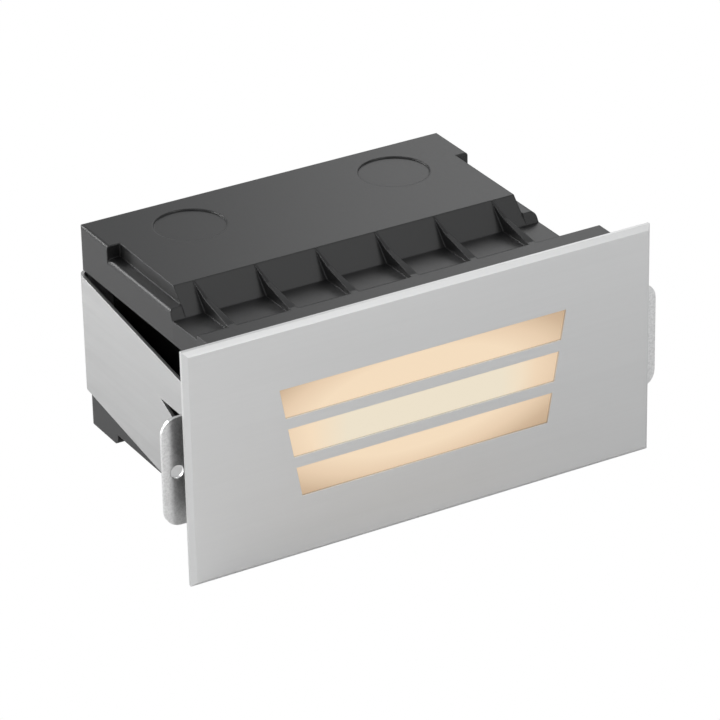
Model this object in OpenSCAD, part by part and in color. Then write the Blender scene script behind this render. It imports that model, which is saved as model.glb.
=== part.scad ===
// Recessed step light: a slotted stainless faceplate carries a sealed lamp tray and a driver,
// which push into a black moulded back box. A stainless strap with two screw ears holds the box.
// Origin: centre of the wall plane, which is the faceplate's back. X is across, +Y goes into
// the wall, +Z is up.

/* [Faceplate] */
// Width of the stainless faceplate
plate_w = 228.6; // [218:0.2:260]
// Height of the faceplate
plate_h = 110; // [108:0.5:140]
// Thickness of the faceplate
plate_t = 3.5; // [2.5:0.1:6]
// Bevel along the four front edges
plate_bevel = 2; // [0.4:0.1:2.3]

/* [Slots] */
// Number of light slots
slot_count = 3; // [2:1:4]
// Height of one slot
slot_h = 14; // [10:0.2:15]
// Distance from slot to slot
slot_pitch = 19.2; // [17:0.2:22]
// Width of the slots at the middle of the plate
slot_w = 131.4; // [110:0.2:140]
// How much wider the slot row gets to each side for each unit of height
slot_slant_share = 0.18; // [0:0.01:0.25]

/* [Lens and seals] */
// Thickness of the frosted lens
lens_t = 3; // [2:0.1:5]
// Lens edge beyond the slots at the ends
lens_end = 2.6; // [2:0.1:6]
// Lens edge beyond the slots at top and bottom
lens_edge = 5; // [3:0.5:8]
// Clearance round the lens bars in their slots
bar_gap = 0.3; // [0.2:0.05:0.8]
// How far the lens bars stay behind the faceplate's front
bar_sink = 0.5; // [0.2:0.1:2]
// Thickness of the lens gasket
lens_seal_t = 1; // [0.6:0.1:2]
// Width of the lens gasket's rim
lens_seal_w = 2.2; // [1.2:0.1:2.6]
// Thickness of the foam gasket behind the faceplate
foam_t = 3; // [2:0.1:5]

/* [Lamp tray] */
// Wall of the cast lamp tray
tray_wall = 3; // [2:0.1:5]
// Thickness of the tray's back wall
tray_back = 2.5; // [2:0.1:4]
// Depth of the tray behind the faceplate
tray_d = 38; // [34:0.5:46]
// Thickness of the tray's front flange
flange_t = 3; // [2:0.1:5]
// Reach of the flange beyond the tray at each side
flange_side = 10.7; // [10:0.1:14]
// Reach of the flange beyond the tray at top and bottom
flange_edge = 2; // [1:0.1:4]

/* [Light source] */
// Height of the LED board
board_h = 26; // [22:0.5:30]
// Thickness of the LED board
board_t = 1.6; // [1:0.1:2.4]
// Thickness of the thermal pad
pad_t = 0.5; // [0.3:0.1:1]
// LEDs in each row
led_cols = 9; // [4:1:10]
// Distance between the two LED rows
led_rows_gap = 12; // [8:0.5:14]
// Side of one LED
led_s = 3; // [2:0.1:4]
// Height of one LED above the board
led_t = 0.9; // [0.5:0.1:1.5]

/* [Driver and leads] */
// Depth of the driver
driver_d = 24; // [18:0.5:34]
// Height of the driver
driver_h = 38; // [34:0.5:44]
// Thickness of the driver's bracket
bracket_t = 1.2; // [0.8:0.1:2]
// Diameter of the LED wires
led_wire_d = 1.8; // [1.2:0.1:2]
// Diameter of the supply wires
supply_wire_d = 2.6; // [2:0.1:3]
// Length of a wire connector cap
cap_l = 20; // [14:0.5:24]
// Diameter of a wire connector cap at its open end
cap_d = 12; // [9:0.5:13]

/* [Spring clips] */
// Width of a clip arm
clip_w = 15; // [10:0.5:22]
// Thickness of the clip's spring strip
clip_t = 0.8; // [0.5:0.1:1.2]
// Diameter of the clip's hinge pin
clip_pin_d = 2; // [1.6:0.1:2.4]
// Gap between a clip and the collar it presses on
clip_gap = 0.3; // [0.2:0.1:0.6]

/* [Back box] */
// Wall of the moulded back box
box_wall = 3; // [2:0.1:4]
// Depth of the collar behind the faceplate's gasket
collar_d = 19.5; // [18:0.5:26]
// Depth of the open ledge between the collar and the raised block
ledge_d = 20.7; // [16:0.1:30]
// Depth over which the block's front face slopes
slope_d = 10.4; // [4:0.1:14]
// Depth of the raised block's top from its front edge to its back
block_d = 75.5; // [66:0.1:90]
// Height of the raised block above the ledge
block_rise = 10.7; // [8:0.1:16]
// Height of the block's side faces
block_side_h = 22.9; // [18:0.1:28]
// Reach of the block beyond the core on the left
block_left_reach = 15; // [13:0.1:24]
// Reach of the block beyond the core on the right
block_right_reach = 6; // [5:0.1:12]
// Width of the rebate along the block's side edges
rebate_w = 6.3; // [5:0.1:9]
// Depth of the rebate along the block's side edges
rebate_h = 6.3; // [4:0.1:7]
// Full-width stretch at the rear of the block, behind the rebates
rear_d = 26.6; // [12:0.1:32]
// Rounding of the block's rear corners
block_r = 2.5; // [1:0.1:6]
// Top and bottom rim of the collar beyond the opening
collar_rim = 5.1; // [4:0.1:9]
// Reach of the wiring tab at the collar's upper right corner
tab_reach = 9.7; // [4:0.1:11]

/* [Ribs and knockouts] */
// Number of ribs between the collar and the block
rib_count = 6; // [2:1:8]
// Thickness of a rib
rib_t = 3.6; // [2:0.1:5]
// Distance from the core's left side to the first rib
rib_start = 0.6; // [0:0.1:6]
// Distance from the last rib's left face to the core's right side
rib_end = 12; // [6:0.5:24]
// Diameter of a conduit knockout
knockout_d = 32; // [20:0.5:36]
// Depth of the groove that marks a knockout
knockout_sink = 0.6; // [0.3:0.1:1]
// Distance from the middle of the left knockout to the block's left side
knockout_side = 40.5; // [28:0.1:44]
// Distance from knockout to knockout
knockout_pitch = 102.2; // [60:0.1:108]

/* [Strap] */
// Thickness of the strap's sheet
strap_t = 1.5; // [1:0.1:2.5]
// Gap between the strap's arms and the box's wings
strap_gap = 0.3; // [0.3:0.1:2]
// How far the strap's middle is to the right of the faceplate's
strap_shift = 0.9; // [0:0.1:1]
// Height of the strap across the back
strap_h = 56.1; // [44:0.1:60]
// How far the arms' upper edge falls for each unit towards the front
arm_top_share = 0.133; // [0.05:0.001:0.15]
// How far the arms' lower edge falls for each unit towards the front
arm_bottom_share = 0.139; // [0.05:0.001:0.16]
// Reach of an ear beyond its arm
ear_reach = 25.2; // [21:0.1:28]
// Height of an ear
ear_h = 50.6; // [40:0.1:56]
// Rounding of an ear's outer corners
ear_r = 7.5; // [2:0.5:9]
// Diameter of the screw hole in an ear
ear_hole_d = 6.2; // [4.5:0.1:7]
// Distance from the hole's middle to the ear's outer edge
ear_hole_in = 6.6; // [5:0.1:9]

/* [Fasteners] */
// Diameter of the studs welded behind the faceplate
stud_d = 4; // [3:0.5:5]
// Diameter of the small screws
screw_d = 3; // [2.5:0.1:3.5]

/* [Hidden] */
$fn = 48;

// Overrun of every cut
over = 1;
// Clearance round a part that drops into a pocket
fit_gap = 0.3;
// Radial clearance of a screw or stud in its hole
hole_gap = 0.2;
// Radial clearance of a pin that turns in its knuckle, and of a wire or the vent in its hole
pin_gap = 0.05;

// Faceplate
plate_hx = plate_w / 2;
plate_hz = plate_h / 2;
plate_rim = plate_t - plate_bevel;

// Lens window behind the slots
slots_half_h = (slot_count - 1) * slot_pitch / 2 + slot_h / 2;
slots_half_w = slot_w / 2 + slot_slant_share * slots_half_h;
lens_hx = slots_half_w + lens_end;
lens_hz = slots_half_h + lens_edge;

// Lamp tray
tray_in_hx = lens_hx + fit_gap;
tray_in_hz = lens_hz + fit_gap;
tray_hx = tray_in_hx + tray_wall;
tray_hz = tray_in_hz + tray_wall;
tray_floor = tray_d - tray_back;
flange_hx = tray_hx + flange_side;
flange_hz = tray_hz + flange_edge;
seat_y = lens_seal_t + lens_t;

// Opening, collar and core of the back box
module_gap = 0.7;
collar_side_gap = 4.4;
open_low_gap = 0.8;
open_top_gap = 5.6;
core_in_hx = tray_hx + module_gap;
core_hx = core_in_hx + box_wall;
open_low = -flange_hz - open_low_gap;
open_top = flange_hz + open_top_gap;
core_low = open_low - box_wall;
collar_in_hx = flange_hx + collar_side_gap;
collar_hx = collar_in_hx + box_wall;
collar_hz = open_top + collar_rim;
collar_end = foam_t + collar_d;
tab_h = 21;

// Raised block on top of the box
ledge_z = open_top + box_wall;
block_top = ledge_z + block_rise;
block_low = block_top - block_side_h;
rebate_z = block_top - rebate_h;
foot_y = collar_end + ledge_d;
block_y = foot_y + slope_d;
block_back = block_y + block_d;
rear_y = block_back - rear_d;
block_left = -core_hx - block_left_reach;
block_right = core_hx + block_right_reach;
mid_left = block_left + rebate_w;
mid_right = block_right - rebate_w;
back_edge_r = 1.5;
top_edge_r = 1.5;
strip_edge_r = 2.5;
under_r = 2.5;
front_round = 3;

// Core's back and the wings below, which the strap wraps
core_back = block_back;
collar_clear = 0.1;
strap_in = collar_hx + strap_shift + collar_clear;
wing_hx = strap_in - strap_gap;
base_r = 3;
base_drop = 1;
base_low = core_low - base_drop;
wing_step = 5.1;
wing_low = base_low + wing_step;
wing_h = 22.5;
wing_top = wing_low + wing_h;
wing_lag = 14.8;
wing_front = foot_y + wing_lag;
core_chamfer = 3;
base_hx = core_in_hx - core_chamfer;
rib_land = 1.6;
rib_tip_t = 0.8;
rib_fall_share = 0.43;
rib_pitch = (2 * core_hx - rib_start - rib_end) / (rib_count - 1);
boss_r = 4;
boss_l = 6;

// Strap
strap_out = strap_in + strap_t;
strap_back = core_back + strap_t;
strap_arm_x = strap_in + strap_t / 2;
strap_web_y = core_back + strap_t / 2;
strap_clear = 0.3;
strap_top = block_low - strap_clear;
strap_mid_z = strap_top - strap_h / 2;
strap_low = strap_top - strap_h;
strap_bend = 3;
ear_y = 6;
ear_back = ear_y + strap_t;
ear_plane_y = ear_y + strap_t / 2;
ear_hx = strap_out + ear_reach;
ear_mid_z = -3.5;
ear_hole_x = ear_hx - ear_hole_in;
strap_screw_x = 42;
strap_screw_l = 8;
window_top = 3.6;
window_low = -12;
window_front = 16;
window_lag = 12.5;
window_back = foot_y + window_lag;
window_rear_w = 12.9;
window_rear_h = 12;
window_corner_share = 0.84;
window_fall_share = 0.4;
arm_low_y = 57;
arm_low_z = strap_low - arm_bottom_share * (strap_back - arm_low_y);

// Studs and screws
stud_r = stud_d / 2;
stud_l = 2.5 * stud_d;
stud_x = (tray_hx + flange_hx) / 2;
stud_z = 0.7 * tray_hz;
nut_r = stud_d;
nut_t = 0.8 * stud_d;
washer_r = 1.1 * stud_d;
washer_t = 0.2 * stud_d;
screw_r = screw_d / 2;
head_r = 0.95 * screw_d;
head_t = 0.6 * screw_d;
screw_short = 0.6;
gasket_side = 2.5;
gasket_edge = 1.7;

// Grommet where the LED wires enter the tray; board and bracket end short of its flange
grommet_in = 12.3;
grommet_x = tray_hx - grommet_in;
grommet_r = 4.9;
grommet_flange_r = 6.8;
grommet_flange_t = 1.2;
grommet_bore_r = 2.5;
grommet_clear = 3.2;
clear_x = grommet_x - grommet_flange_r - grommet_clear;

// LED board and its terminal
board_hx = clear_x;
led_margin = 14;
led_pitch = 2 * (board_hx - led_margin) / (led_cols - 1);
pad_y = tray_floor - pad_t;
board_y = pad_y - board_t;
board_screw_x = board_hx - 1.3 * screw_d;
board_screw_z = board_h / 2 - 1.2 * screw_d;
terminal_l = 8;
terminal_w = 7;
terminal_t = 4;
terminal_in = 2;
terminal_x = board_hx - terminal_l - terminal_in;

// Reflector
reflector_t = 1;
reflector_rim = 2.5;
board_clear = 6;
reflector_rear_y = tray_floor - board_clear;
reflector_rear_hx = board_hx + terminal_in;
reflector_room = 1.5;
reflector_rear_hz = board_h / 2 + reflector_room;
post_r = 2.2;
post_in = 1.8;
post_lap = 7;
// Growth of the inner funnel over the overrun at both its ends
funnel_grow = over * (lens_hx - reflector_rim - reflector_rear_hx) / (reflector_rear_y - seat_y);

// Driver on its bracket
bracket_x1 = clear_x;
lug_l = 6;
lug_t = 3;
lug_w = 12;
driver_in = 2;
driver_end = 18.3;
driver_x1 = bracket_x1 - lug_l - driver_in;
driver_x0 = driver_end - tray_hx;
bracket_x0 = driver_x0 - lug_l;
bracket_y = tray_d + bracket_t;
bracket_hz = driver_h / 2 + bracket_t;
bracket_lip = 0.7 * driver_d;
driver_back = bracket_y + driver_d;
driver_r = 2;
lug_z = lug_w / 2 - driver_h / 2;
bracket_screw_z = 0.79 * driver_h / 2;

// LED wires from the driver's end to the board's terminal
led_wire_r = led_wire_d / 2;
led_wire_gap = 0.15;
led_wire_z = led_wire_r + led_wire_gap;
led_wire_y = board_y - terminal_t / 2;
led_exit_in = 5.8;
led_exit_y = bracket_y + led_exit_in;
led_bend = 4.5;
wire_entry = 3;
wire_in = 2.5;

// Supply wires, their caps and the earth connection
supply_r = supply_wire_d / 2;
supply_bend = 3 * supply_wire_d;
supply_y = bracket_y + driver_d / 2;
supply_z = 4;
lead_out = 12;
lead_x = driver_x0 - lead_out;
lead_back = 10.8;
lead_y = driver_back + lead_back;
cap_r = cap_d / 2;
cap_tip_share = 0.6;
cap_bore_l = 6;
cap_fin = 0.8;
cap_out = 12;
cap_x = driver_x0 + cap_out;
cap_pitch = 1.2 * cap_d;
cap_back = 28;
cap_y = driver_back + cap_back;
cap_z = open_low + cap_r + fit_gap;
earth_z = 25;
earth_bend = 5;
ring_t = 0.8;
ring_r = 4.2;
barrel_l = 6;
barrel_reach = 9.6;
barrel_wall = 0.5;
barrel_r = supply_r + barrel_wall;
barrel_y = tray_d + barrel_r;
earth_drop = 5;
earth_run_z = earth_z - barrel_reach - earth_drop;

// Breather vent in the tray's back wall
vent_in = 6.8;
vent_x = vent_in - tray_hx;
vent_r = 2.9;
vent_lip_r = 3.4;
vent_lip_t = 0.8;
vent_cap_r = 4.2;
vent_cap_t = 3;
vent_bore_r = 0.6;

// Spring clips that press on the collar's sides
pin_r = clip_pin_d / 2;
knuckle_t = 1.15;
knuckle_r = pin_r + pin_gap + knuckle_t;
clip_plate_t = 1;
clip_base_w = 9;
clip_x = flange_hx - clip_base_w / 2;
clip_rise = 5.2;
clip_y = flange_t + clip_rise;
clip_ear_r = 2.8;
clip_hz = clip_w / 2;
clip_side_gap = 0.3;
clip_notch_hz = 2.6;
clip_notch_in = 0.6;
clip_touch_x = collar_in_hx - clip_gap;
clip_touch_out = 5.6;
clip_touch_y = clip_y + clip_touch_out;
clip_pad_l = 3.6;
clip_bend = 1.5;
clip_tip_in = 3;
clip_tip_x = clip_x + clip_tip_in;
clip_tip_out = 10.1;
clip_tip_y = clip_y + clip_tip_out;
pin_head_t = 1;
pin_head_out = 0.6;
pin_head_r = pin_r + pin_head_out;
rivet_r = 1.2;
rivet_head_r = 2;
rivet_head_t = 0.8;
rivet_out = 5;
rivet_z = clip_hz + rivet_out;
coil_wire_r = 0.3;
coil_gap = 0.35;
coil_r = pin_r + coil_gap + coil_wire_r;
coil_turns = 3.25;
coil_pitch = 1.1;
coil_end = 105;
coil_leg = 5.6;
coil_foot = 3.1;

// A box between two corners
module block(lo, hi) {
  translate(lo) cube(hi - lo);
}

// A profile in Y and Z, drawn out from x0 to x1
module slab_x(points, x0, x1) {
  translate([x0, 0, 0]) rotate([90, 0, 90]) linear_extrude(x1 - x0) polygon(points);
}

// A profile in X and Z, drawn out from y0 to y1
module slab_y(points, y0, y1) {
  translate([0, y1, 0]) rotate([90, 0, 0]) linear_extrude(y1 - y0) polygon(points);
}

// A profile in X and Y, drawn out from z0 to z1
module slab_z(points, z0, z1) {
  translate([0, 0, z0]) linear_extrude(z1 - z0) polygon(points);
}

// A round bar along Y
module rod_y(x, z, y0, y1, r) {
  translate([x, y1, z]) rotate([90, 0, 0]) cylinder(h = y1 - y0, r = r);
}

// A round bar along X
module rod_x(y, z, x0, x1, r) {
  translate([x0, y, z]) rotate([0, 90, 0]) cylinder(h = x1 - x0, r = r);
}

// A round bar along Z
module rod_z(x, y, z0, z1, r) {
  translate([x, y, z0]) cylinder(h = z1 - z0, r = r);
}

// A pan-head screw whose head sits on the plane y_seat, on its +Y side
module screw_back(x, z, y_seat, length) {
  rod_y(x, z, y_seat - length, y_seat, screw_r);
  difference() {
    rod_y(x, z, y_seat, y_seat + head_t, head_r);
    drive_cross(x, z, y_seat + head_t);
  }
}

// A pan-head screw whose head sits on the plane y_seat, on its -Y side
module screw_front(x, z, y_seat, length) {
  rod_y(x, z, y_seat, y_seat + length, screw_r);
  difference() {
    rod_y(x, z, y_seat - head_t, y_seat, head_r);
    drive_cross(x, z, y_seat - head_t);
  }
}

// Cross recess in a screw's head, centred on the plane y_face
module drive_cross(x, z, y_face) {
  arm = 0.62 * head_r;
  slot = 0.14 * screw_d;
  sink = 0.5 * head_t;
  block([x - arm, y_face - sink, z - slot], [x + arm, y_face + sink, z + slot]);
  block([x - slot, y_face - sink, z - arm], [x + slot, y_face + sink, z + arm]);
}

// What the object has on both sides of its middle plane
module both_sides() {
  children();
  mirror([1, 0, 0]) children();
}

// Points of an arc about a centre
function arc(c, r, a0, a1, n = 6) =
  [for (i = [0 : n]) let (a = a0 + (a1 - a0) * i / n) c + r * [cos(a), sin(a)]];

// Outline of a rectangle with rounded corners
function round_rect(lo, hi, r) = concat(
  arc([hi.x - r, hi.y - r], r, 0, 90), arc([lo.x + r, hi.y - r], r, 90, 180),
  arc([lo.x + r, lo.y + r], r, 180, 270), arc([hi.x - r, lo.y + r], r, 270, 360));

function unit(v) = v / norm(v);
function backwards(p) = [for (i = [len(p) - 1 : -1 : 0]) p[i]];

// One side of a strip of thickness t that follows a line of points
function strip_side(p, t, side) = [for (i = [0 : len(p) - 1])
  let (d0 = unit(p[max(i, 1)] - p[max(i - 1, 0)]),
    d1 = unit(p[min(i + 1, len(p) - 1)] - p[min(i, len(p) - 2)]),
    n = unit([-d0.y - d1.y, d0.x + d1.x]))
  p[i] + side * t / 2 / (n * [-d0.y, d0.x]) * n];
function strip(p, t) = concat(strip_side(p, t, 1), backwards(strip_side(p, t, -1)));

// A route whose corners are rounded to radius r
function bend_at(a, b, c, r, n) =
  let (u = unit(a - b), v = unit(c - b), half = acos(u * v) / 2, reach = r / tan(half),
    centre = b + unit(u + v) * r / sin(half), e = unit(b + u * reach - centre),
    f = unit(b + v * reach - centre), g = unit(f - (f * e) * e), sweep = 180 - 2 * half)
  [for (i = [0 : n]) centre + r * (cos(sweep * i / n) * e + sin(sweep * i / n) * g)];
function route(p, r, n = 5) = concat([p[0]],
  [for (i = [1 : len(p) - 2]) each bend_at(p[i - 1], p[i], p[i + 1], r, n)], [p[len(p) - 1]]);

// A tube swept along a route, its rings carried along without twist
function tangent(p, i) = unit(p[min(i + 1, len(p) - 1)] - p[max(i - 1, 0)]);
function carry(p, i, up) = i == len(p) ? [] :
  let (t = tangent(p, i), u = unit(up - t * (up * t))) concat([u], carry(p, i + 1, u));
function across(t) = abs(t.z) < 0.9 ? [0, 0, 1] : [1, 0, 0];
module tube(p, r, sides = 8) {
  ups = carry(p, 0, across(tangent(p, 0)));
  points = [for (i = [0 : len(p) - 1]) let (t = tangent(p, i), v = cross(t, ups[i]))
    for (k = [0 : sides - 1]) p[i] + r * (cos(360 * k / sides) * ups[i] + sin(360 * k / sides) * v)];
  last = (len(p) - 1) * sides;
  walls = [for (i = [0 : len(p) - 2], k = [0 : sides - 1]) each
    let (m = (k + 1) % sides, a = i * sides)
    [[a + k, a + sides + k, a + m], [a + m, a + sides + k, a + sides + m]]];
  polyhedron(points, concat([[for (k = [0 : sides - 1]) k]],
    [[for (k = [sides - 1 : -1 : 0]) last + k]], walls));
}

// A four-sided funnel along Y between two rectangles
module funnel(hx0, hz0, y0, hx1, hz1, y1) {
  polyhedron([[-hx0, y0, -hz0], [hx0, y0, -hz0], [hx0, y0, hz0], [-hx0, y0, hz0],
      [-hx1, y1, -hz1], [hx1, y1, -hz1], [hx1, y1, hz1], [-hx1, y1, hz1]],
    [[0, 2, 1], [0, 3, 2], [4, 5, 6], [4, 6, 7], [0, 1, 5], [0, 5, 4],
      [1, 2, 6], [1, 6, 5], [2, 3, 7], [2, 7, 6], [3, 0, 4], [3, 4, 7]]);
}

// Back box: outer solids
function block_profile(y0, top) = concat([[y0, block_low], [block_back, block_low]],
  arc([block_back - back_edge_r, top - back_edge_r], back_edge_r, 0, 90), [[y0, top]]);

// Profile of the block's side strips, below the rebates
strip_profile = [[foot_y, block_low], [rear_y, block_low], [rear_y, rebate_z],
  [foot_y + front_round, rebate_z], [foot_y, ledge_z]];

// Plan between two sides, with rounded rear corners
function round_back(x0, x1, y1, r) = concat([[x0, 0]], [[x1, 0]],
  arc([x1 - r, y1 - r], r, 0, 90), arc([x0 + r, y1 - r], r, 90, 180));

// Front view of the block between two heights, rounded above and below
function front_view(z_top, r_top) = concat(
  arc([block_right - r_top, z_top - r_top], r_top, 0, 90),
  arc([block_left + r_top, z_top - r_top], r_top, 90, 180),
  arc([block_left + under_r, block_low + under_r], under_r, 180, 270),
  arc([block_right - under_r, block_low + under_r], under_r, 270, 360));

// Strips below the rebates, rounded along their outer edges
module box_strips() {
  intersection() {
    union() {
      slab_x(strip_profile, block_left, mid_left);
      slab_x(strip_profile, mid_right, block_right);
    }
    slab_y(front_view(rebate_z, strip_edge_r), foot_y, rear_y);
  }
}

module box_block() {
  intersection() {
    union() {
      slab_x(block_profile(rear_y, block_top), block_left, block_right);
      slab_x([[foot_y, block_low], [rear_y, block_low], [rear_y, block_top], [block_y, block_top],
        [foot_y, ledge_z]], mid_left, mid_right);
      box_strips();
      slab_z([[-collar_hx, collar_end], [block_right, collar_end], [block_right, foot_y],
        [block_left, foot_y]], block_low, ledge_z);
    }
    slab_z(round_back(block_left, block_right, block_back, block_r), block_low, block_top);
    slab_y(front_view(block_top, top_edge_r), 0, block_back);
  }
}

module box_core() {
  slab_y([[-core_hx, core_low + core_chamfer], [-core_hx + core_chamfer, core_low],
    [core_hx - core_chamfer, core_low], [core_hx, core_low + core_chamfer],
    [core_hx, block_low], [-core_hx, block_low]], collar_end, core_back);
  slab_x([[foot_y, core_low + over], [core_back, core_low + over], [core_back, base_low],
    [block_y, base_low], [foot_y, core_low]], -base_hx, base_hx);
}

// Wings and rear blocks at both sides, inside the strap
module box_wings() {
  translate([strap_shift, 0, 0]) intersection() {
    both_sides() {
      block([wing_hx - box_wall, wing_front, wing_low], [wing_hx, core_back, wing_top]);
      slab_x(concat([[core_back, base_low]], [[core_back, wing_top]], [[rear_y, wing_top]],
        arc([rear_y + base_r, base_low + base_r], base_r, 180, 270)), core_in_hx, wing_hx);
    }
    slab_z(round_back(-wing_hx, wing_hx, core_back, strap_bend), base_low, wing_top);
  }
}

module box_collar() {
  slab_y([[-collar_hx, -collar_hz], [collar_hx, -collar_hz], [collar_hx, collar_hz - tab_h],
    [collar_hx + tab_reach, collar_hz - tab_h], [collar_hx + tab_reach, collar_hz],
    [-collar_hx, collar_hz]], foam_t, collar_end);
}

// Ribs from the collar to the sloped fronts of the block and of the base, thinner towards these
module box_ribs() {
  for (i = [0 : rib_count - 1]) {
    x = rib_start - core_hx + i * rib_pitch;
    intersection() {
      union() {
        slab_x([[collar_end, ledge_z - over], [block_y, ledge_z - over], [block_y, block_top],
          [foot_y, block_top - rib_fall_share * block_rise], [collar_end + rib_land, collar_hz],
          [collar_end, collar_hz]], x, x + rib_t);
        slab_x([[collar_end, core_low + over], [foot_y, core_low + over], [block_y, base_low],
          [collar_end + rib_land, -collar_hz], [collar_end, -collar_hz]], x, x + rib_t);
      }
      slab_z([[x, collar_end], [x + rib_t, collar_end], [x + rib_t, collar_end + rib_land],
        [x + rib_tip_t, block_y], [x, block_y]], -block_top, block_top);
    }
  }
}

// The open inside of the box
module box_hollow() {
  block([-collar_in_hx, foam_t - over, open_low], [collar_in_hx, collar_end - box_wall, open_top]);
  block([-core_in_hx, collar_end - box_wall - over, open_low],
    [core_in_hx, core_back - box_wall, open_top]);
  block([mid_left + box_wall, block_y + box_wall, block_low + box_wall],
    [mid_right - box_wall, core_back - box_wall, block_top - box_wall]);
  block([block_left + box_wall, foot_y + box_wall, block_low + box_wall],
    [block_right - box_wall, core_back - box_wall, rebate_z - box_wall]);
  block([-collar_hx + box_wall, collar_end + box_wall, block_low + box_wall],
    [block_right - box_wall, foot_y + box_wall + over, ledge_z - box_wall]);
}

module box_bosses() {
  translate([strap_shift, 0, 0]) both_sides()
    rod_y(strap_screw_x, strap_mid_z, core_back - box_wall - boss_l, core_back, boss_r);
}

module back_box() color("#2a2b2d") {
  difference() {
    union() {
      difference() {
        union() {
          box_block();
          box_core();
          box_wings();
          box_collar();
          box_ribs();
        }
        box_hollow();
      }
      box_bosses();
    }
    translate([strap_shift, 0, 0]) both_sides()
      rod_y(strap_screw_x, strap_mid_z, core_back - strap_screw_l, core_back + over, screw_r);
    for (i = [0, 1]) {
      x = block_left + knockout_side + i * knockout_pitch;
      rod_z(x, rear_y, block_top - knockout_sink, block_top + over, knockout_d / 2);
      rod_z(x, rear_y, base_low - over, base_low + knockout_sink, knockout_d / 2);
    }
  }
}

// Strap: one bent strip, with ears at both ends and a window in each arm
function arm_top(y) = strap_top - arm_top_share * (strap_back - y);

module arm_outline() {
  difference() {
    slab_x([[ear_y - over, ear_mid_z - ear_h / 2], [arm_low_y, arm_low_z],
      [strap_back, strap_low], [strap_back + over, strap_low], [strap_back + over, strap_top],
      [ear_y - over, arm_top(ear_y - over)]],
      -strap_out - strap_bend, strap_out + strap_bend);
    slab_x([[window_front, window_low], [window_back - window_rear_w, window_low],
      [window_back - window_rear_w, window_top - window_rear_h],
      [window_back - window_corner_share * window_rear_w, window_top - window_fall_share * window_rear_h],
      [window_back, window_top], [window_front, window_top]],
      -strap_out - strap_bend - over, strap_out + strap_bend + over);
  }
}

module ear_outline() {
  both_sides() slab_y(round_rect([strap_out - ear_r, ear_mid_z - ear_h / 2],
    [ear_hx, ear_mid_z + ear_h / 2], ear_r), ear_y - over, ear_back + over);
}

module mounting_strap() color("#b4b7b9") translate([strap_shift, 0, 0]) {
  difference() {
    intersection() {
      slab_z(strip(route([[-ear_hx, ear_plane_y], [-strap_arm_x, ear_plane_y],
        [-strap_arm_x, strap_web_y], [strap_arm_x, strap_web_y], [strap_arm_x, ear_plane_y],
        [ear_hx, ear_plane_y]], strap_bend), strap_t), ear_mid_z - ear_h, strap_top + over);
      union() {
        arm_outline();
        ear_outline();
      }
    }
    both_sides() rod_y(ear_hole_x, ear_mid_z, ear_y - over, ear_back + over, ear_hole_d / 2);
    both_sides() rod_y(strap_screw_x, strap_mid_z, core_back - over, strap_back + over,
      screw_r + hole_gap);
  }
}

module strap_screws() color("#c9cbcd") translate([strap_shift, 0, 0]) {
  for (x = [-strap_screw_x, strap_screw_x]) screw_back(x, strap_mid_z, strap_back, strap_screw_l);
}

// Faceplate
function slot_half_w(z) = slot_w / 2 + slot_slant_share * z;

// One slot of the row, or a bar that fits in it with a clearance
module slot_prism(i, gap, y0, y1) {
  low = i * slot_pitch - slots_half_h + gap;
  high = low + slot_h - 2 * gap;
  half_low = slot_half_w(low) - gap;
  half_high = slot_half_w(high) - gap;
  slab_y([[-half_low, low], [half_low, low], [half_high, high], [-half_high, high]], y0, y1);
}

module faceplate() color("#b9bcbe") {
  difference() {
    intersection() {
      slab_x([[0, -plate_hz], [0, plate_hz], [-plate_rim, plate_hz],
        [-plate_t, plate_hz - plate_bevel], [-plate_t, plate_bevel - plate_hz],
        [-plate_rim, -plate_hz]], -plate_hx, plate_hx);
      slab_z([[-plate_hx, 0], [plate_hx, 0], [plate_hx, -plate_rim],
        [plate_hx - plate_bevel, -plate_t], [plate_bevel - plate_hx, -plate_t],
        [-plate_hx, -plate_rim]], -plate_hz, plate_hz);
    }
    for (i = [0 : slot_count - 1]) slot_prism(i, 0, -plate_t - over, over);
  }
}

// A flat rectangular ring along Y
module ring_y(out_hx, out_hz, in_hx, in_hz, y0, y1) {
  difference() {
    block([-out_hx, y0, -out_hz], [out_hx, y1, out_hz]);
    block([-in_hx, y0 - over, -in_hz], [in_hx, y1 + over, in_hz]);
  }
}

module face_gasket() color("#1d1e20") {
  ring_y(collar_hx, collar_hz, flange_hx + gasket_side, flange_hz + gasket_edge, 0, foam_t);
}

// Where the four studs stand
module at_studs() {
  for (x = [-stud_x, stud_x], z = [-stud_z, stud_z]) translate([x, 0, z]) children();
}

module plate_studs() color("#c4c6c8") {
  at_studs() rod_y(0, 0, 0, stud_l, stud_r);
}

module stud_washers() color("#cfd1d3") {
  at_studs() difference() {
    rod_y(0, 0, flange_t, flange_t + washer_t, washer_r);
    rod_y(0, 0, flange_t - over, flange_t + washer_t + over, stud_r + hole_gap);
  }
}

module stud_nuts() color("#bfc1c3") {
  seat = flange_t + washer_t;
  at_studs() difference() {
    translate([0, seat, 0]) rotate([-90, 0, 0]) cylinder(h = nut_t, r = nut_r, $fn = 6);
    rod_y(0, 0, seat - over, seat + nut_t + over, stud_r + pin_gap);
  }
}

module lens_gasket() color("#242527") {
  ring_y(lens_hx, lens_hz, lens_hx - lens_seal_w, lens_hz - lens_seal_w, 0, lens_seal_t);
}

// Frosted lens, with a bar that stands into each slot
module lens() color("#f3efe6") {
  block([-lens_hx, lens_seal_t, -lens_hz], [lens_hx, seat_y, lens_hz]);
  for (i = [0 : slot_count - 1]) slot_prism(i, bar_gap, bar_sink - plate_t, seat_y);
}

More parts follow.
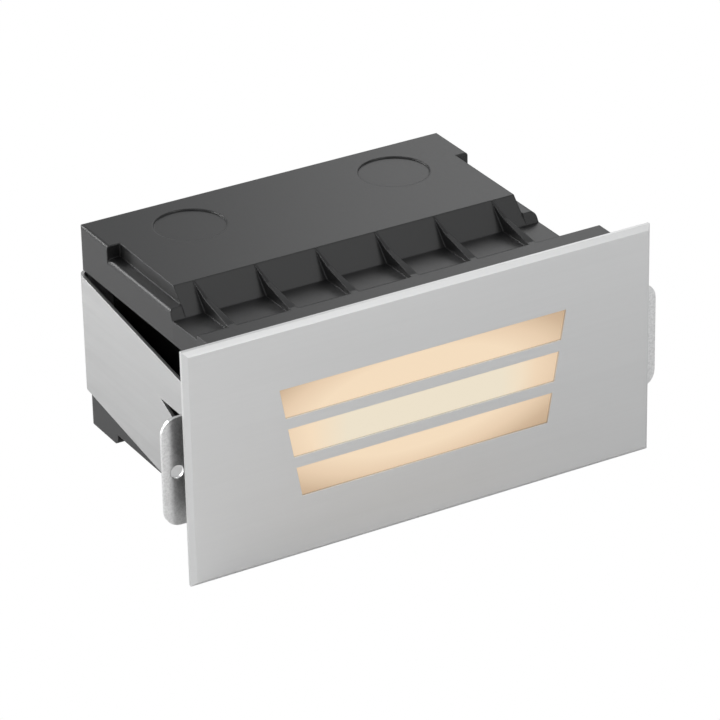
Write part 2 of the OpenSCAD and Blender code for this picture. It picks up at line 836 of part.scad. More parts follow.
// Lamp tray: one casting with a flange that the studs clamp to the faceplate
module lamp_tray() color("#a3a6a8") {
  difference() {
    union() {
      block([-tray_hx, 0, -tray_hz], [tray_hx, tray_d, tray_hz]);
      block([-flange_hx, 0, -flange_hz], [flange_hx, flange_t, flange_hz]);
    }
    block([-tray_in_hx, -over, -tray_in_hz], [tray_in_hx, tray_floor, tray_in_hz]);
    at_studs() rod_y(0, 0, -over, flange_t + over, stud_r + hole_gap);
    for (z = [-rivet_z, rivet_z]) both_sides() rod_y(clip_x, z, -over, flange_t + over, rivet_r);
    rod_y(grommet_x, 0, tray_floor - over, tray_d + over, grommet_r);
    rod_y(vent_x, 0, tray_floor - over, tray_d + over, vent_r + pin_gap);
    at_board_screws() rod_y(0, 0, tray_floor - over, tray_d + over, screw_r);
    at_bracket_screws() rod_y(0, 0, tray_floor - over, tray_d + over, screw_r);
    rod_y(vent_x, earth_z, tray_floor - over, tray_d + over, screw_r);
  }
}

// Reflector: a rim behind the lens, a funnel to the LED board and four posts
module reflector() color("#f4f4f1") {
  post_x = reflector_rear_hx + post_in;
  post_z = reflector_rear_hz + post_in;
  rim_hx = lens_hx - reflector_rim;
  rim_hz = lens_hz - reflector_rim;
  difference() {
    union() {
      block([-lens_hx, seat_y, -lens_hz], [lens_hx, seat_y + reflector_t, lens_hz]);
      funnel(rim_hx + reflector_t, rim_hz + reflector_t, seat_y,
        reflector_rear_hx + reflector_t, reflector_rear_hz + reflector_t, reflector_rear_y);
      for (x = [-post_x, post_x], z = [-post_z, post_z])
        rod_y(x, z, reflector_rear_y - post_lap, tray_floor, post_r);
    }
    funnel(rim_hx + funnel_grow, rim_hz + funnel_grow, seat_y - over,
      reflector_rear_hx - funnel_grow, reflector_rear_hz - funnel_grow, reflector_rear_y + over);
  }
}

// Light source
module at_board_screws() {
  for (x = [-board_screw_x, board_screw_x], z = [-board_screw_z, board_screw_z])
    translate([x, 0, z]) children();
}

module led_board() color("#eef0ee") {
  difference() {
    block([-board_hx, board_y, -board_h / 2], [board_hx, pad_y, board_h / 2]);
    at_board_screws() rod_y(0, 0, board_y - over, pad_y + over, screw_r + hole_gap);
  }
}

module led_chips() color("#ffe9a8") {
  for (i = [0 : led_cols - 1], side = [-1, 1]) {
    x = (i - (led_cols - 1) / 2) * led_pitch;
    z = side * led_rows_gap / 2;
    block([x - led_s / 2, board_y - led_t, z - led_s / 2], [x + led_s / 2, board_y, z + led_s / 2]);
  }
}

module thermal_pad() color("#8fa3b5") {
  difference() {
    block([-board_hx, pad_y, -board_h / 2], [board_hx, tray_floor, board_h / 2]);
    at_board_screws() rod_y(0, 0, pad_y - over, tray_floor + over, screw_r + hole_gap);
  }
}

module board_screws() color("#d0d2d4") {
  at_board_screws() screw_front(0, 0, board_y, board_t + pad_t + tray_back - screw_short);
}

module board_terminal() color("#f2f2ee") {
  difference() {
    block([terminal_x, board_y - terminal_t, -terminal_w / 2],
      [terminal_x + terminal_l, board_y, terminal_w / 2]);
    for (z = [-led_wire_z, led_wire_z])
      rod_x(led_wire_y, z, terminal_x + terminal_l - wire_entry, terminal_x + terminal_l + over,
        led_wire_r + pin_gap);
  }
}

// Driver on its bracket behind the tray
module at_bracket_screws() {
  for (x = [driver_x0 - lug_l / 2, driver_x1 + lug_l / 2]) translate([x, 0, bracket_screw_z]) children();
}

module at_driver_screws() {
  for (x = [driver_x0 - lug_l / 2, driver_x1 + lug_l / 2]) translate([x, 0, lug_z]) children();
}

module driver_bracket() color("#b7babc") {
  difference() {
    union() {
      block([bracket_x0, tray_d, -bracket_hz], [bracket_x1, bracket_y, bracket_hz]);
      for (side = [-1, 1]) block([driver_x0, tray_d, side * bracket_hz - (side + 1) / 2 * bracket_t],
        [driver_x1, bracket_y + bracket_lip, side * bracket_hz - (side - 1) / 2 * bracket_t]);
    }
    at_bracket_screws() rod_y(0, 0, tray_d - over, bracket_y + over, screw_r + hole_gap);
    at_driver_screws() rod_y(0, 0, tray_d - over, bracket_y + over, screw_r);
  }
}

module bracket_screws() color("#cccdd0") {
  at_bracket_screws() screw_back(0, 0, bracket_y, bracket_t + tray_back - screw_short);
}

module driver() color("#3a3d42") {
  difference() {
    union() {
      slab_y(round_rect([driver_x0, -driver_h / 2], [driver_x1, driver_h / 2], driver_r),
        bracket_y, driver_back);
      at_driver_screws() block([-lug_l / 2, bracket_y, -lug_w / 2],
        [lug_l / 2, bracket_y + lug_t, lug_w / 2]);
    }
    at_driver_screws() rod_y(0, 0, bracket_y - over, bracket_y + lug_t + over, screw_r + hole_gap);
    for (z = [-led_wire_z, led_wire_z])
      rod_x(led_exit_y, z, driver_x1 - wire_entry, driver_x1 + over, led_wire_r + pin_gap);
    for (z = [-supply_z, supply_z])
      rod_x(supply_y, z, driver_x0 - over, driver_x0 + wire_entry, supply_r + pin_gap);
  }
}

module driver_screws() color("#c6c8ca") {
  at_driver_screws() screw_back(0, 0, bracket_y + lug_t, lug_t + bracket_t);
}

// Leads
module lead_grommet() color("#202124") {
  difference() {
    union() {
      rod_y(grommet_x, 0, tray_floor - grommet_flange_t, tray_floor, grommet_flange_r);
      rod_y(grommet_x, 0, tray_floor, tray_d, grommet_r);
      rod_y(grommet_x, 0, tray_d, tray_d + grommet_flange_t, grommet_flange_r);
    }
    rod_y(grommet_x, 0, tray_floor - grommet_flange_t - over, tray_d + grommet_flange_t + over,
      grommet_bore_r);
  }
}

module led_leads() color("#b5322b") {
  for (z = [-led_wire_z, led_wire_z])
    tube(route([[terminal_x + terminal_l - wire_in, led_wire_y, z], [grommet_x, led_wire_y, z],
      [grommet_x, led_exit_y, z], [driver_x1 - wire_in, led_exit_y, z]], led_bend), led_wire_r);
}

// Where a wire cap stands
function cap_at(i) = cap_x + i * cap_pitch;

module supply_leads() color("#26272a") {
  for (i = [0, 1]) {
    z = [-supply_z, supply_z][i];
    tube(route([[driver_x0 + wire_in, supply_y, z], [lead_x, supply_y, z], [lead_x, lead_y, z],
      [cap_at(i), lead_y, cap_z], [cap_at(i), cap_y + cap_bore_l - pin_gap, cap_z]], supply_bend),
      supply_r);
  }
}

module earth_lead() color("#3d8a45") {
  tube(route([[vent_x, barrel_y, earth_z - barrel_reach + wire_in], [vent_x, barrel_y, earth_run_z],
    [vent_x, lead_y, earth_run_z], [cap_at(2), lead_y, cap_z],
    [cap_at(2), cap_y + cap_bore_l - pin_gap, cap_z]], earth_bend), supply_r);
}

module wire_caps() color("#c9a227") {
  for (i = [0 : 2]) difference() {
    union() {
      translate([cap_at(i), cap_y, cap_z]) rotate([-90, 0, 0])
        cylinder(h = cap_l, r1 = cap_r, r2 = cap_r * cap_tip_share);
      block([cap_at(i) - cap_r - cap_fin, cap_y, cap_z - cap_fin],
        [cap_at(i) + cap_r + cap_fin, cap_y + cap_l / 2, cap_z + cap_fin]);
    }
    rod_y(cap_at(i), cap_z, cap_y - over, cap_y + cap_bore_l, supply_r + pin_gap);
  }
}

module earth_ring() color("#c8a24a") {
  difference() {
    union() {
      rod_y(vent_x, earth_z, tray_d, tray_d + ring_t, ring_r);
      block([vent_x - supply_r, tray_d, earth_z - barrel_reach + barrel_l - over],
        [vent_x + supply_r, tray_d + ring_t, earth_z]);
      rod_z(vent_x, barrel_y, earth_z - barrel_reach, earth_z - barrel_reach + barrel_l, barrel_r);
    }
    rod_y(vent_x, earth_z, tray_d - over, tray_d + ring_t + over, screw_r + hole_gap);
    rod_z(vent_x, barrel_y, earth_z - barrel_reach - over, earth_z - barrel_reach + barrel_l - over,
      supply_r + pin_gap);
  }
}

module earth_screw() color("#b58b3a") {
  screw_back(vent_x, earth_z, tray_d + ring_t, ring_t + tray_back - screw_short);
}

module breather_vent() color("#5a5d62") {
  difference() {
    union() {
      rod_y(vent_x, 0, tray_floor - vent_lip_t, tray_floor, vent_lip_r);
      rod_y(vent_x, 0, tray_floor, tray_d, vent_r);
      rod_y(vent_x, 0, tray_d, tray_d + vent_cap_t, vent_cap_r);
    }
    rod_y(vent_x, 0, tray_floor - vent_lip_t - over, tray_d + vent_cap_t + over, vent_bore_r);
    for (a = [0, 90]) translate([vent_x, 0, 0]) rotate([0, a, 0])
      block([-vent_cap_r - over, tray_d + vent_cap_t / 2, -vent_bore_r],
        [vent_cap_r + over, tray_d + vent_cap_t / 2 + vent_bore_r, vent_bore_r]);
  }
}

// Spring clips
module clip_brackets() color("#c0c3c5") {
  ear_in = clip_hz + clip_side_gap;
  ear_out = ear_in + clip_plate_t;
  base_hz = rivet_z + clip_base_w / 3;
  both_sides() difference() {
    union() {
      block([clip_x - clip_base_w / 2, flange_t, -base_hz],
        [clip_x + clip_base_w / 2, flange_t + clip_plate_t, base_hz]);
      for (z = [-ear_out, ear_in]) {
        block([clip_x - clip_ear_r, flange_t, z], [clip_x + clip_ear_r, clip_y, z + clip_plate_t]);
        rod_z(clip_x, clip_y, z, z + clip_plate_t, clip_ear_r);
      }
    }
    rod_z(clip_x, clip_y, -ear_out - over, ear_out + over, pin_r);
    for (z = [-rivet_z, rivet_z])
      rod_y(clip_x, z, flange_t - over, flange_t + clip_plate_t + over, rivet_r);
  }
}

module clip_rivets() color("#d3d5d7") {
  both_sides() for (z = [-rivet_z, rivet_z]) {
    rod_y(clip_x, z, 0, flange_t + clip_plate_t, rivet_r);
    rod_y(clip_x, z, flange_t + clip_plate_t, flange_t + clip_plate_t + rivet_head_t, rivet_head_r);
  }
}

module clip_pins() color("#d8dadc") {
  end = clip_hz + clip_side_gap + clip_plate_t;
  both_sides() {
    rod_z(clip_x, clip_y, -end, end, pin_r);
    rod_z(clip_x, clip_y, end, end + pin_head_t, pin_head_r);
    rod_z(clip_x, clip_y, -end - pin_head_t, -end, pin_head_r);
  }
}

// Line that a clip's strip follows, from its knuckle over the touching pad to the tip
strip_start = [clip_x + knuckle_r - clip_t / 2, clip_y];
pad_x = clip_touch_x - clip_t / 2;
strip_line = route([strip_start, [pad_x, clip_touch_y - clip_pad_l / 2],
  [pad_x, clip_touch_y + clip_pad_l / 2], [clip_tip_x, clip_tip_y]], clip_bend);

module clip_arm() {
  difference() {
    union() {
      rod_z(clip_x, clip_y, -clip_hz, clip_hz, knuckle_r);
      slab_z(strip(strip_line, clip_t), -clip_hz, clip_hz);
    }
    rod_z(clip_x, clip_y, -clip_hz - over, clip_hz + over, pin_r + pin_gap);
    block([clip_x - knuckle_r - over, clip_y - knuckle_r - over, -clip_notch_hz],
      [clip_x + knuckle_r + clip_notch_in, clip_y + knuckle_r + over, clip_notch_hz]);
  }
}

// Torsion spring round the pin: one leg on the bracket's base, one behind the strip
module clip_spring() {
  a0 = coil_end + 360 * coil_turns;
  steps = ceil(24 * coil_turns);
  coil = [for (i = [0 : steps]) let (a = a0 - 360 * coil_turns * i / steps)
    [clip_x + coil_r * cos(a), clip_y + coil_r * sin(a), coil_pitch * coil_turns * (i / steps - 0.5)]];
  d = unit([pad_x, clip_touch_y - clip_pad_l / 2] - strip_start);
  leg = strip_start + coil_leg * d + (clip_t / 2 + coil_wire_r + pin_gap) * [-d.y, d.x];
  foot = [coil[0].x - coil_foot * sin(a0), coil[0].y + coil_foot * cos(a0), coil[0].z];
  tube(concat([foot], coil, [[leg.x, leg.y, coil[steps].z]]), coil_wire_r);
}

module clip_arm_left() color("#c7cacc") mirror([1, 0, 0]) clip_arm();
module clip_spring_left() color("#9fa3a6") mirror([1, 0, 0]) clip_spring();
module clip_arm_right() color("#c7cacc") clip_arm();
module clip_spring_right() color("#9fa3a6") clip_spring();

back_box();
mounting_strap();
strap_screws();
faceplate();
face_gasket();
plate_studs();
stud_washers();
stud_nuts();
lens_gasket();
lens();
lamp_tray();
reflector();
led_board();
led_chips();
thermal_pad();
board_screws();
board_terminal();
driver_bracket();
bracket_screws();
driver();
driver_screws();
lead_grommet();
led_leads();
supply_leads();
wire_caps();
earth_lead();
earth_ring();
earth_screw();
breather_vent();
clip_brackets();
clip_rivets();
clip_pins();
clip_arm_left();
clip_spring_left();
clip_arm_right();
clip_spring_right();
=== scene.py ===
import math

import bpy
from mathutils import Matrix, Vector


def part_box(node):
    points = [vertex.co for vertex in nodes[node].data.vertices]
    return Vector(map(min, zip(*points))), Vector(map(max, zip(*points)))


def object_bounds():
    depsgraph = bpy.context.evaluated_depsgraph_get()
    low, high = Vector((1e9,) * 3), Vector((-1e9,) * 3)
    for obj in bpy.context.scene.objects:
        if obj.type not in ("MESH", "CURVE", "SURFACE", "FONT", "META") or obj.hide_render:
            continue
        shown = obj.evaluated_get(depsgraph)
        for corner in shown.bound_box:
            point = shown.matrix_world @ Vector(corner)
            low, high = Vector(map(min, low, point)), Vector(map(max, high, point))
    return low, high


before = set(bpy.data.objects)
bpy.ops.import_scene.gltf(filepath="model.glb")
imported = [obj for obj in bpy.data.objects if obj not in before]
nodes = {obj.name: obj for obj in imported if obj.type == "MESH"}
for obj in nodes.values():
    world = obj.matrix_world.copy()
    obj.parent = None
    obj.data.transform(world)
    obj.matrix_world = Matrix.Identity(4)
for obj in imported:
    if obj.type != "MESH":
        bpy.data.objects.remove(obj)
cad_lo, cad_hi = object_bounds()
scene = bpy.context.scene
scene.view_settings.view_transform = "Standard"


# Helpers for node materials

BLACK_STOP, WHITE_STOP = (0.0, 0.0, 0.0), (1.0, 1.0, 1.0)


def new_material(name):
    """A material, its node tree, its shader and the object's own coordinates."""
    made = bpy.data.materials.new(name)
    made.use_nodes = True
    tree = made.node_tree
    shader = tree.nodes["Principled BSDF"]
    where = tree.nodes.new("ShaderNodeTexCoord")
    return made, tree, shader, where.outputs["Object"]


def even(scale):
    """The same number of features per metre along X, Y and Z."""
    return (scale, scale, scale)


def stretched_noise(tree, coords, scale, detail=4.0, rough=0.6):
    """Noise in object space whose three scales are features per metre along X, Y and Z."""
    mapping = tree.nodes.new("ShaderNodeMapping")
    mapping.inputs["Scale"].default_value = scale
    tree.links.new(coords, mapping.inputs["Vector"])
    noise = tree.nodes.new("ShaderNodeTexNoise")
    noise.inputs["Scale"].default_value = 1.0
    noise.inputs["Detail"].default_value = detail
    noise.inputs["Roughness"].default_value = rough
    tree.links.new(mapping.outputs["Vector"], noise.inputs["Vector"])
    return noise.outputs["Fac"]


def ramp(tree, factor, stops):
    """Colour ramp from (position, colour) stops."""
    made = tree.nodes.new("ShaderNodeValToRGB")
    band = made.color_ramp
    while len(band.elements) < len(stops):
        band.elements.new(0.5)
    for element, (place, colour) in zip(band.elements, stops):
        element.position = place
        element.color = (*colour, 1.0)
    tree.links.new(factor, made.inputs["Fac"])
    return made.outputs["Color"]


def to_range(tree, value, low, high, from_low=0.0, from_high=1.0):
    """The value taken from one range to another, and held at its ends."""
    made = tree.nodes.new("ShaderNodeMapRange")
    made.inputs["From Min"].default_value = from_low
    made.inputs["From Max"].default_value = from_high
    made.inputs["To Min"].default_value = low
    made.inputs["To Max"].default_value = high
    tree.links.new(value, made.inputs["Value"])
    return made.outputs["Result"]


def split_coords(tree, coords):
    """The outputs X, Y and Z of a position."""
    split = tree.nodes.new("ShaderNodeSeparateXYZ")
    tree.links.new(coords, split.inputs["Vector"])
    return split.outputs


def shade_of(colour, share):
    return tuple(c * share for c in colour)


GRAIN_LOW, GRAIN_HIGH = 0.3, 0.7
ROUGH_SPREAD = 0.06
BEVEL_SAMPLES = 6


def grained(name, colour, rough, scale, metallic=0.0, spread=0.06, bump=0.1, depth=0.00005,
            edge=0.0003, specular=0.5):
    """A finish whose colour, roughness and surface follow one noise; depth and edge in metres."""
    made, tree, shader, coords = new_material(name)
    grain = stretched_noise(tree, coords, scale)
    tint = ramp(tree, grain, [(GRAIN_LOW, shade_of(colour, 1 - spread)),
                              (GRAIN_HIGH, shade_of(colour, 1 + spread))])
    tree.links.new(tint, shader.inputs["Base Color"])
    tree.links.new(to_range(tree, grain, rough - ROUGH_SPREAD, rough + ROUGH_SPREAD),
                   shader.inputs["Roughness"])
    shader.inputs["Metallic"].default_value = metallic
    shader.inputs["Specular IOR Level"].default_value = specular
    bevel = tree.nodes.new("ShaderNodeBevel")
    bevel.samples = BEVEL_SAMPLES
    bevel.inputs["Radius"].default_value = edge
    relief = tree.nodes.new("ShaderNodeBump")
    relief.inputs["Strength"].default_value = bump
    relief.inputs["Distance"].default_value = depth
    tree.links.new(grain, relief.inputs["Height"])
    tree.links.new(bevel.outputs["Normal"], relief.inputs["Normal"])
    tree.links.new(relief.outputs["Normal"], shader.inputs["Normal"])
    return made


# The lit lens

# Stops are shares of its height, its width and the glow's reach; shift and reach are in metres
MIDDLE_SLOT = [(0.35, BLACK_STOP), (0.38, WHITE_STOP), (0.62, WHITE_STOP), (0.65, BLACK_STOP)]
MIDDLE_PART = [(0.12, BLACK_STOP), (0.24, WHITE_STOP), (0.76, WHITE_STOP), (0.88, BLACK_STOP)]
PEACH, CREAM = (0.930, 0.745, 0.540), (0.862, 0.780, 0.622)
GLOW_SCALE = (0.4254, 0.0, 1.0)
GLOW_SHIFT = (0.0017, 0.0, -0.003)
GLOW_REACH = 0.040
GLOW_FALL = [(0.0, WHITE_STOP), (0.56, WHITE_STOP), (0.74, (0.88, 0.84, 0.82)),
             (0.83, (0.76, 0.715, 0.68)), (0.885, (0.68, 0.62, 0.58)), (1.0, (0.58, 0.52, 0.47))]
GLOW_STRENGTH = 0.91
FROST_GRAIN = even(900.0)
FROST_ROUGH = (0.5, 0.6)
FROST_COLOUR = (0.06, 0.045, 0.03, 1.0)
FROST_SPECULAR = 0.15


def glow_colour(tree, coords):
    """Cream in the middle of the middle slot, peach elsewhere."""
    lens_lo, lens_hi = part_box("lens")
    place = split_coords(tree, coords)
    height = to_range(tree, place["Z"], 0.0, 1.0, lens_lo.z, lens_hi.z)
    across = to_range(tree, place["X"], 0.0, 1.0, lens_lo.x, lens_hi.x)
    inside = tree.nodes.new("ShaderNodeMath")
    inside.operation = "MULTIPLY"
    tree.links.new(ramp(tree, height, MIDDLE_SLOT), inside.inputs[0])
    tree.links.new(ramp(tree, across, MIDDLE_PART), inside.inputs[1])
    return ramp(tree, inside.outputs["Value"], [(0.0, PEACH), (1.0, CREAM)])


def glow_fall(tree, coords):
    """Full near the middle, and dimmer towards the lens's ends along an ellipse."""
    spread = tree.nodes.new("ShaderNodeMapping")
    spread.inputs["Scale"].default_value = GLOW_SCALE
    spread.inputs["Location"].default_value = GLOW_SHIFT
    tree.links.new(coords, spread.inputs["Vector"])
    far = tree.nodes.new("ShaderNodeVectorMath")
    far.operation = "LENGTH"
    tree.links.new(spread.outputs["Vector"], far.inputs[0])
    return ramp(tree, to_range(tree, far.outputs["Value"], 0.0, 1.0, 0.0, GLOW_REACH), GLOW_FALL)


def lit_lens():
    """Frosted glass lit from behind."""
    made, tree, shader, coords = new_material("lens_frosted_lit")
    product = tree.nodes.new("ShaderNodeMix")
    product.data_type = "RGBA"
    product.blend_type = "MULTIPLY"
    product.inputs["Factor"].default_value = 1.0
    tree.links.new(glow_colour(tree, coords), product.inputs["A"])
    tree.links.new(glow_fall(tree, coords), product.inputs["B"])
    tree.links.new(product.outputs["Result"], shader.inputs["Emission Color"])
    frost = stretched_noise(tree, coords, FROST_GRAIN)
    tree.links.new(to_range(tree, frost, *FROST_ROUGH), shader.inputs["Roughness"])
    shader.inputs["Emission Strength"].default_value = GLOW_STRENGTH
    shader.inputs["Base Color"].default_value = FROST_COLOUR
    shader.inputs["Specular IOR Level"].default_value = FROST_SPECULAR
    return made


# The LEDs

CHIP_GRAIN = even(3000.0)
CHIP_STOPS = [(0.3, (0.95, 0.70, 0.30)), (0.7, (1.0, 0.85, 0.50))]
CHIP_STRENGTH = 2.0


def lit_chip():
    """Yellow phosphor that glows by itself."""
    made, tree, shader, coords = new_material("phosphor_lit")
    speck = stretched_noise(tree, coords, CHIP_GRAIN)
    glow = ramp(tree, speck, CHIP_STOPS)
    tree.links.new(glow, shader.inputs["Base Color"])
    tree.links.new(glow, shader.inputs["Emission Color"])
    shader.inputs["Emission Strength"].default_value = CHIP_STRENGTH
    return made


# The strap's ears

# They lie within this depth behind the strap's front face, in metres
EAR_DEPTH = 0.0018
EAR_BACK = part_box("mounting_strap")[0].y + EAR_DEPTH
EAR_FADE = 0.002
EAR_GRAIN = even(1100.0)
# Mottle, and a painted sheen: these shades are much lighter than the arms' sheet, which is the same
# metal
EAR_MOTTLE_AND_PAINTED_SHEEN_STOPS = [(0.35, (0.74, 0.74, 0.738)), (0.65, (0.90, 0.90, 0.898))]
EAR_ROUGH = (0.28, 0.36)


def mottled_and_sheen_painted_ears(sheet):
    """Make the ears mottled and smoother than the strap's arms, and lighter than the arms by a
    painted sheen on the same sheet.
    """
    tree = sheet.node_tree
    shader = tree.nodes["Principled BSDF"]
    coords = tree.nodes["Texture Coordinate"].outputs["Object"]
    depth = split_coords(tree, coords)["Y"]
    on_arm = to_range(tree, depth, 0.0, 1.0, EAR_BACK, EAR_BACK + EAR_FADE)
    mottle = stretched_noise(tree, coords, EAR_GRAIN, detail=2.0)
    # Painted sheen: the ears' colour is the mottle made lighter than the arms' sheet
    tint = ramp(tree, mottle, EAR_MOTTLE_AND_PAINTED_SHEEN_STOPS)
    smooth = to_range(tree, mottle, *EAR_ROUGH)
    for socket, on_ear, kind in (("Base Color", tint, "RGBA"), ("Roughness", smooth, "FLOAT")):
        target = shader.inputs[socket]
        on_sheet = target.links[0].from_socket
        joined = tree.nodes.new("ShaderNodeMix")
        joined.data_type = kind
        ends = [e for e in joined.inputs if e.enabled and e.name in ("A", "B")]
        tree.links.new(on_arm, joined.inputs["Factor"])
        tree.links.new(on_ear, ends[0])
        tree.links.new(on_sheet, ends[1])
        tree.links.new([e for e in joined.outputs if e.enabled][0], target)


# Finish of each node

BLACK = grained("moulded_black", (0.0075, 0.0075, 0.0077), rough=0.34, scale=even(1600.0),
                spread=0.12, bump=0.25, depth=0.00003, edge=0.0009, specular=0.54)
PLATE = grained("stainless_plate", (0.725, 0.725, 0.723), rough=0.38, scale=(14.0, 700.0, 700.0),
                metallic=1.0, spread=0.01, bump=0.015, depth=0.00002, edge=0.0002)
SHEET = grained("stainless_sheet", (0.53, 0.53, 0.528), rough=0.46, scale=(300.0, 20.0, 500.0),
                metallic=1.0, spread=0.03, bump=0.03, depth=0.00002)
mottled_and_sheen_painted_ears(SHEET)
SMALL = grained("steel_small", (0.66, 0.66, 0.67), rough=0.30, scale=even(900.0), metallic=1.0)
PLATED = grained("plated_screw", (0.72, 0.72, 0.73), rough=0.20, scale=even(1200.0), metallic=1.0)
SPRING = grained("spring_wire", (0.42, 0.42, 0.44), rough=0.30, scale=even(2000.0), metallic=1.0)
FOAM = grained("foam_black", (0.030, 0.030, 0.031), rough=0.90, scale=even(1100.0), spread=0.2,
               bump=0.6)
SILICONE = grained("silicone_black", (0.04, 0.04, 0.041), rough=0.55, scale=even(900.0))
CAST = grained("cast_aluminium", (0.56, 0.565, 0.575), rough=0.50, scale=even(900.0),
               metallic=1.0, spread=0.08, bump=0.4)
FOLDED = grained("folded_aluminium", (0.60, 0.605, 0.61), rough=0.38, scale=(20.0, 600.0, 600.0),
                 metallic=1.0)
WHITE = grained("white_plastic", (0.88, 0.875, 0.86), rough=0.35, scale=even(500.0), spread=0.02)
MASK = grained("white_solder_mask", (0.84, 0.85, 0.84), rough=0.42, scale=even(700.0), spread=0.03)
PAD = grained("thermal_pad", (0.30, 0.37, 0.45), rough=0.75, scale=even(800.0))
CASE = grained("driver_case", (0.055, 0.060, 0.070), rough=0.48, scale=even(1200.0), bump=0.3)
VENT = grained("vent_grey", (0.14, 0.15, 0.16), rough=0.5, scale=even(1200.0))
RED = grained("wire_red", (0.55, 0.05, 0.035), rough=0.36, scale=even(600.0))
DARK = grained("wire_black", (0.03, 0.03, 0.034), rough=0.36, scale=even(600.0))
GREEN = grained("wire_green", (0.05, 0.30, 0.09), rough=0.36, scale=even(600.0))
CAP = grained("cap_yellow", (0.70, 0.44, 0.04), rough=0.34, scale=even(500.0))
BRASS = grained("brass", (0.70, 0.50, 0.20), rough=0.30, scale=even(900.0), metallic=1.0)

FINISH = {
    "back_box": BLACK, "mounting_strap": SHEET, "strap_screws": PLATED, "faceplate": PLATE,
    "face_gasket": FOAM, "plate_studs": SMALL, "stud_washers": SMALL, "stud_nuts": SMALL,
    "lens_gasket": SILICONE, "lens": lit_lens(), "lamp_tray": CAST, "reflector": WHITE,
    "led_board": MASK, "led_chips": lit_chip(), "thermal_pad": PAD, "board_screws": PLATED,
    "board_terminal": WHITE, "driver_bracket": FOLDED, "bracket_screws": PLATED, "driver": CASE,
    "driver_screws": PLATED, "lead_grommet": SILICONE, "led_leads": RED, "supply_leads": DARK,
    "wire_caps": CAP, "earth_lead": GREEN, "earth_ring": BRASS, "earth_screw": BRASS,
    "breather_vent": VENT, "clip_brackets": SMALL, "clip_rivets": FOLDED, "clip_pins": SMALL,
    "clip_arm_left": SMALL, "clip_spring_left": SPRING, "clip_arm_right": SMALL,
    "clip_spring_right": SPRING,
}
for name, finish in FINISH.items():
    for slot in nodes[name].material_slots:
        slot.material = finish


# World and floor

def white_to_camera(tree, kind, lit, out):
    """Pure white where the camera looks, by a node of this kind, and lit for every other ray."""
    seen = tree.nodes.new(kind)
    seen.inputs["Color"].default_value = (1.0, 1.0, 1.0, 1.0)
    seen.inputs["Strength"].default_value = 1.0
    rays = tree.nodes.new("ShaderNodeLightPath")
    mix = tree.nodes.new("ShaderNodeMixShader")
    tree.links.new(rays.outputs["Is Camera Ray"], mix.inputs["Fac"])
    tree.links.new(lit, mix.inputs[1])
    tree.links.new(seen.outputs[0], mix.inputs[2])
    tree.links.new(mix.outputs["Shader"], out.inputs["Surface"])


SKY_COLOUR = (0.98, 0.99, 1.0, 1.0)
SKY_STRENGTH = 0.54

world = bpy.data.worlds.new("studio")
scene.world = world
world.use_nodes = True
studio = world.node_tree
sky = studio.nodes["Background"]
sky.inputs["Color"].default_value = SKY_COLOUR
sky.inputs["Strength"].default_value = SKY_STRENGTH
white_to_camera(studio, "ShaderNodeBackground", sky.outputs["Background"],
                studio.nodes["World Output"])

FLOOR_GAP = 0.0004
FLOOR_HALF = 3.0
FLOOR_CORNERS = ((-1, -1), (1, -1), (1, 1), (-1, 1))
floor_z = cad_lo.z - FLOOR_GAP
floor_mesh = bpy.data.meshes.new("floor")
floor_mesh.from_pydata([(FLOOR_HALF * x, FLOOR_HALF * y, floor_z) for x, y in FLOOR_CORNERS],
                       [], [(0, 1, 2, 3)])
floor = bpy.data.objects.new("floor", floor_mesh)
scene.collection.objects.link(floor)
pale = grained("pale_floor", (0.82, 0.82, 0.82), rough=0.8, scale=even(20.0), spread=0.01, bump=0.0)
pale_tree = pale.node_tree
white_to_camera(pale_tree, "ShaderNodeEmission", pale_tree.nodes["Principled BSDF"].outputs["BSDF"],
                pale_tree.nodes["Material Output"])
floor_mesh.materials.append(pale)


# Soft studio lights

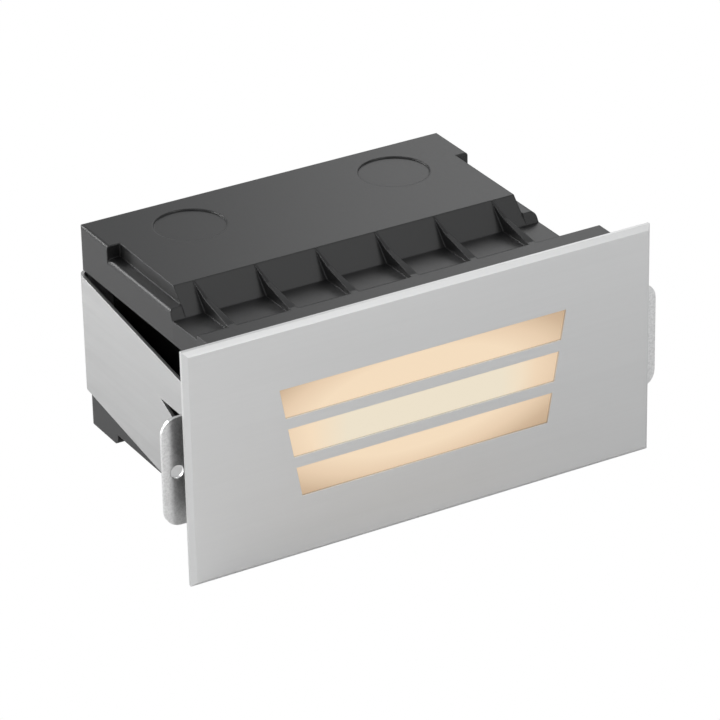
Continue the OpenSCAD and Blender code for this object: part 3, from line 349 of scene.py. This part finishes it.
# Name, place and width in metres, and power in watts
LIGHTS = (
    ("key_from_front_right", (0.55, -0.75, 1.25), 0.8, 1.5),
    ("key_from_behind", (1.0, 1.45, 0.9), 0.6, 1.15),
    ("sheen_from_left", (-1.2, 0.6, 0.25), 0.8, 10.0),
    ("rim_from_behind_left", (-0.75, 1.25, 0.72), 0.5, 5.5),
    ("fill_from_left", (-1.5, -0.9, 0.7), 1.2, 5.0),
    ("fill_from_front", (0.5, -1.75, 0.5), 1.2, 7.2),
)
LIGHTS_AIM = Vector((0.0, 0.05, 0.0))


def soft_light(name, place, width, watts):
    """A round lamp that looks at the object."""
    lamp = bpy.data.lights.new(name, "AREA")
    lamp.shape = "DISK"
    lamp.size = width
    lamp.energy = watts
    made = bpy.data.objects.new(name, lamp)
    made.location = place
    made.rotation_mode = "QUATERNION"
    made.rotation_quaternion = (LIGHTS_AIM - Vector(place)).to_track_quat("-Z", "Y")
    scene.collection.objects.link(made)


for light in LIGHTS:
    soft_light(*light)


# Camera

# Places and distances are in metres, the focal length and the sensor in millimetres
AZIMUTH, ELEVATION, ROLL = (math.radians(a) for a in (-29.6272, 27.2465, -1.2094))
TARGET = Vector((0.0, 0.040, 0.0))
DISTANCE, SHIFT_RIGHT, SHIFT_UP = 1.80241, -0.006187, 0.00198
FOCAL_LENGTH, SENSOR_WIDTH = 208.474, 36.0
CLIP_NEAR, CLIP_FAR = 0.05, 20.0

back = Vector((math.sin(AZIMUTH) * math.cos(ELEVATION), -math.cos(AZIMUTH) * math.cos(ELEVATION),
               math.sin(ELEVATION)))
right = (-back).cross(Vector((0.0, 0.0, 1.0))).normalized()
up = right.cross(-back)
cam_right = right * math.cos(ROLL) + up * math.sin(ROLL)
cam_up = up * math.cos(ROLL) - right * math.sin(ROLL)

view = bpy.data.cameras.new("camera")
view.lens = FOCAL_LENGTH
view.sensor_width = SENSOR_WIDTH
view.clip_start = CLIP_NEAR
view.clip_end = CLIP_FAR
camera = bpy.data.objects.new("camera", view)
camera.matrix_world = Matrix((
    (cam_right.x, cam_up.x, back.x, 0.0), (cam_right.y, cam_up.y, back.y, 0.0),
    (cam_right.z, cam_up.z, back.z, 0.0), (0.0, 0.0, 0.0, 1.0)))
camera.location = TARGET + back * DISTANCE + cam_right * SHIFT_RIGHT + cam_up * SHIFT_UP
scene.collection.objects.link(camera)
scene.camera = camera
